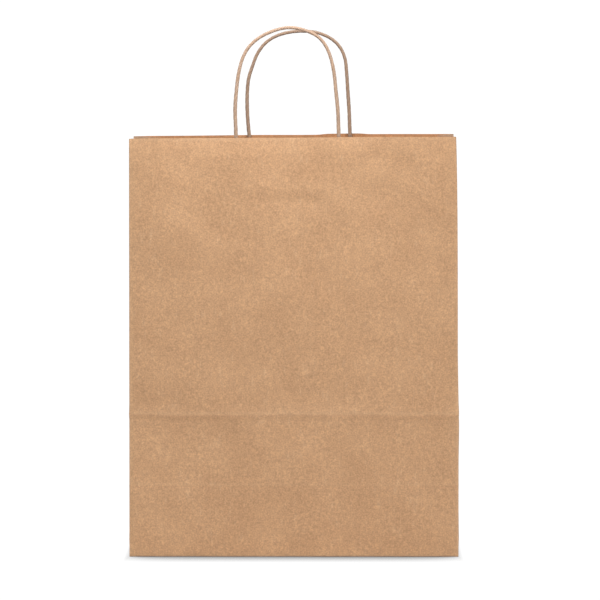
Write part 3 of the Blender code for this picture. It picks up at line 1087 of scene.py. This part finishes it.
def build_handle(name, loop, patch_material, cord):
    """One handle: the cord with its two tails, and the two patches that hold them."""
    inward = 1 if name == "front" else -1
    face_y = FRONT_LOW.y if name == "front" else BACK_HIGH.y
    tails = [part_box(name + "_handle_tail_" + label) for label in ("left", "right")]
    legs = [(low.x + high.x) / 2 for low, high in tails]
    axis_y = (tails[0][0].y + tails[0][1].y) / 2
    tail_low = tails[0][0].z

    def stuck_on(x, z, depth):
        """A point at a depth behind the panel's outer face, following the panel."""
        return (x, face_y + inward * (depth - panel_relief(name, x, np.minimum(z, RIM))), z)

    fixed_heights = (tail_low, tail_low + TAIL_BEND, RIM - RIM_CLEARANCE)
    control = [(legs[0], z) for z in fixed_heights]
    control += [(x / 1000, RIM + z / 1000) for x, z in loop]
    control += [(legs[1], z) for z in reversed(fixed_heights)]
    line = even_line([(x, axis_y, z) for x, z in control], CORD_STEP)
    # Below the rim the cord follows the panel; above it, the loop bows out a little.
    above = np.maximum(line[:, 2] - RIM, 0)
    relief = panel_relief(name, line[:, 0], np.minimum(line[:, 2], RIM))
    line[:, 1] -= inward * relief * np.exp(-above / CORD_FOLLOW)
    bow = CORD_BOW * (1 + np.sin(line[:, 0] * 70)) * smooth(above, 0.0, 0.03)
    line[:, 1] -= inward * bow
    piece = twisted_cord(name + "_cord", line, cord)
    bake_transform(piece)
    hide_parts(name + "_handle_loop")
    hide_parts(name + "_handle_tail_left", name + "_handle_tail_right")

    for kind, base in PATCH_DEPTHS:
        low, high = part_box(name + "_" + kind + "_patch")
        xs = stations(low.x, high.x, fine=[(leg, 0.0042) for leg in legs])
        zs = stations(low.z, high.z, step=0.0020, fine=((tail_low - 0.001, 0.0040),))
        x, z = np.meshgrid(xs, zs)
        depth = base + 0.00004 * waves(x, z, 61 + len(kind), 0.020)
        if kind == "narrow":
            under = smooth(z, tail_low - 0.0056, tail_low - 0.0001)
            for leg in legs:
                bell = 0.5 + 0.5 * np.cos(math.pi * np.clip((x - leg) / CORD_BELL, -1, 1))
                depth = depth + (CORD_TOP_DEPTH - base) * bell * under
        grid = np.stack(stuck_on(x, z, depth), axis=2)
        piece = paper_sheet(name + "_" + kind + "_patch_paper", grid, patch_material)
        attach(piece, name)
        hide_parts(name + "_" + kind + "_patch")


paper = {
    "front": kraft_material("front_kraft"),
    "back": kraft_material("back_kraft", seed=0.37),
    "left": kraft_material("left_gusset_kraft", seed=0.61),
    "right": kraft_material("right_gusset_kraft", seed=0.83),
    "bottom": kraft_material("bottom_kraft", seed=1.07),
}
build_tube(paper)
build_bottom(paper)
patch_kraft = kraft_material("patch_kraft", shade=0.93, seed=1.31)
# The cord's factor scales its tone; the back cord's much lower factor adds painted shade.
build_handle("front", FRONT_LOOP, patch_kraft, cord_material("front_twisted_paper", 0.83))
build_handle("back", BACK_LOOP, patch_kraft, cord_material("back_twisted_paper", 0.65))


# ---- studio


def build_studio():
    """White floor and backdrop, soft light from above in front, and the camera."""
    # The floor sends light back up; what shows is a white sheet over it with a contact shade.
    half = FLOOR_HALF
    corners = [(-half, -half), (half, -half), (half, half), (-half, half)]
    for name, height, material in (
        ("studio_floor", -FLOOR_GAP, floor_material()),
        ("studio_floor_seen", 0.0, shade_material()),
    ):
        mesh = bpy.data.meshes.new(name)
        mesh.from_pydata([(x, y, height) for x, y in corners], [], [(0, 1, 2, 3)])
        mesh.materials.append(material)
        floor = link(bpy.data.objects.new(name, mesh))
    shows_only(floor)

    bpy.ops.mesh.primitive_uv_sphere_add(radius=BACKDROP_RADIUS, segments=48, ring_count=24)
    backdrop = bpy.context.object
    backdrop.name = "studio_backdrop"
    backdrop.data.materials.append(white_glow("backdrop_white"))
    shows_only(backdrop)

    world = bpy.data.worlds.new("studio_world")
    bpy.context.scene.world = world
    world.use_nodes = True
    background = world.node_tree.nodes["Background"]
    set_inputs(background, {"Color": (1.0, 1.0, 1.0, 1.0), "Strength": AMBIENT})

    for light in LIGHTS:
        add_light(*light)

    camera = bpy.data.cameras.new("camera")
    camera.lens = CAMERA_LENS
    camera.sensor_width = 36.0
    camera.clip_end = 200.0
    viewer = link(bpy.data.objects.new("camera", camera))
    point_at(viewer, CAMERA_PLACE, CAMERA_AIM)
    bpy.context.scene.camera = viewer
    bpy.context.scene.view_settings.view_transform = "Standard"


def shows_only(obj):
    """A stage object that shows, but neither lights nor shades anything."""
    obj.visible_diffuse = False
    obj.visible_glossy = False
    obj.visible_transmission = False
    obj.visible_shadow = False


def white_glow(name):
    """Plain white that shows at full brightness."""
    material, _, shader = new_material(name)
    set_inputs(shader, {"Base Color": (0.0, 0.0, 0.0, 1.0), "Specular IOR Level": 0.0})
    set_inputs(shader, {"Emission Color": (1.0, 1.0, 1.0, 1.0), "Emission Strength": 1.05})
    return material


def shade_material():
    """White that darkens softly where something stands close to it."""
    material = white_glow("studio_white")
    tree = material.node_tree
    shader = tree.nodes["Principled BSDF"]
    close = add_node(tree, "ShaderNodeAmbientOcclusion", samples=16)
    set_inputs(close, {"Distance": CONTACT_REACH})
    open_share = remap(tree, close.outputs["AO"], SHADE_DARK_AT, SHADE_GONE_AT, 0.0, 1.0)
    open_share = math_node(tree, "POWER", open_share, SHADE_POWER)
    place = add_node(tree, "ShaderNodeTexCoord").outputs["Object"]
    split = add_node(tree, "ShaderNodeSeparateXYZ")
    tree.links.new(place, split.inputs[0])
    from_middle = math_node(tree, "ABSOLUTE", split.outputs["X"], 0.0)
    beside = remap(tree, from_middle, SIDE_FADE_FROM, SIDE_FADE_TO, 0.0, SIDE_FADE)
    open_share = math_node(tree, "MAXIMUM", open_share, beside)
    colour = mix_colour(tree, open_share, SHADE_COLOUR, (1.0, 1.0, 1.0))
    tree.links.new(colour, shader.inputs["Emission Color"])
    return material


def floor_material():
    """Matt white."""
    material, _, shader = new_material("studio_floor_white")
    set_inputs(shader, {"Base Color": (0.85, 0.85, 0.85, 1.0), "Roughness": 0.9})
    set_inputs(shader, {"Specular IOR Level": 0.1})
    return material


def add_light(name, place, aim, size, power):
    """A square softbox facing a point."""
    data = bpy.data.lights.new(name, "AREA")
    data.size = size
    data.energy = power
    lamp = link(bpy.data.objects.new(name, data))
    point_at(lamp, place, aim)


def point_at(obj, place, aim):
    """Puts a light or the camera at a place, facing a point."""
    obj.location = place
    obj.rotation_mode = "QUATERNION"
    obj.rotation_quaternion = (Vector(aim) - Vector(place)).to_track_quat("-Z", "Y")


build_studio()
